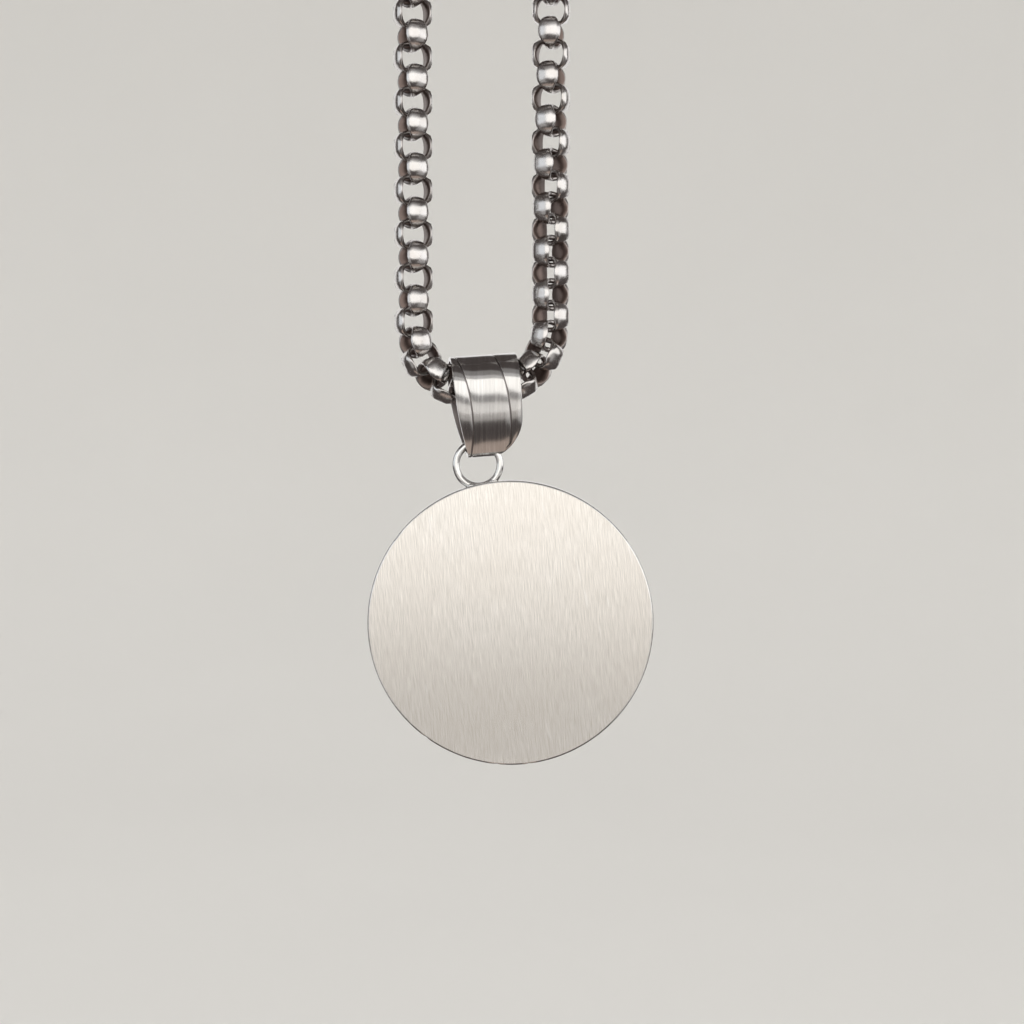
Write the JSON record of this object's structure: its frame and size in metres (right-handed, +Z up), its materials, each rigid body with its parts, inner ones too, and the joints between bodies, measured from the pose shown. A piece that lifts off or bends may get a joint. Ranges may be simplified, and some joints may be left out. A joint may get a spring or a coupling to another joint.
{
  "type": "round pendant on a box chain necklace",
  "caption": "Flat round brushed steel pendant hung by a soldered ear ring and a folded grooved bail on a closed round box chain.",
  "frame": {"origin": "where the necklace hangs, on the inner side of the chain loop's top bend", "axes": "+Z up, away from the pendant; +X to the wearer's left as seen from the front; -Y the way the disc's face looks"},
  "size_m": [0.03, 0.0073, 0.2746],
  "materials": {
    "brushed_disc": "brushed face with a polished bevel",
    "polished_bail": "polished",
    "polished_chain": "polished"
  },
  "bodies": {
    "chain": {"chain_left": "polished_chain", "chain_right": "polished_chain", "clasp": "polished_chain"},
    "bail": {"bail": "polished_bail"},
    "pendant": {"disc": "brushed_disc"}
  },
  "joints": [
    {"name": "bail_swing", "type": "hinge", "parent": "chain", "child": "bail", "pos_m": [0.00013, 0.00002, -0.23081], "axis": [0.9879, 0.1388, 0.0698], "range_deg": [-110, 110]},
    {"name": "pendant_sway", "type": "hinge", "parent": "bail", "child": "pendant", "pos_m": [-0.00049, -0.00007, -0.23902], "axis": [0, 1, 0], "range_deg": [-45, 60]}
  ]
}
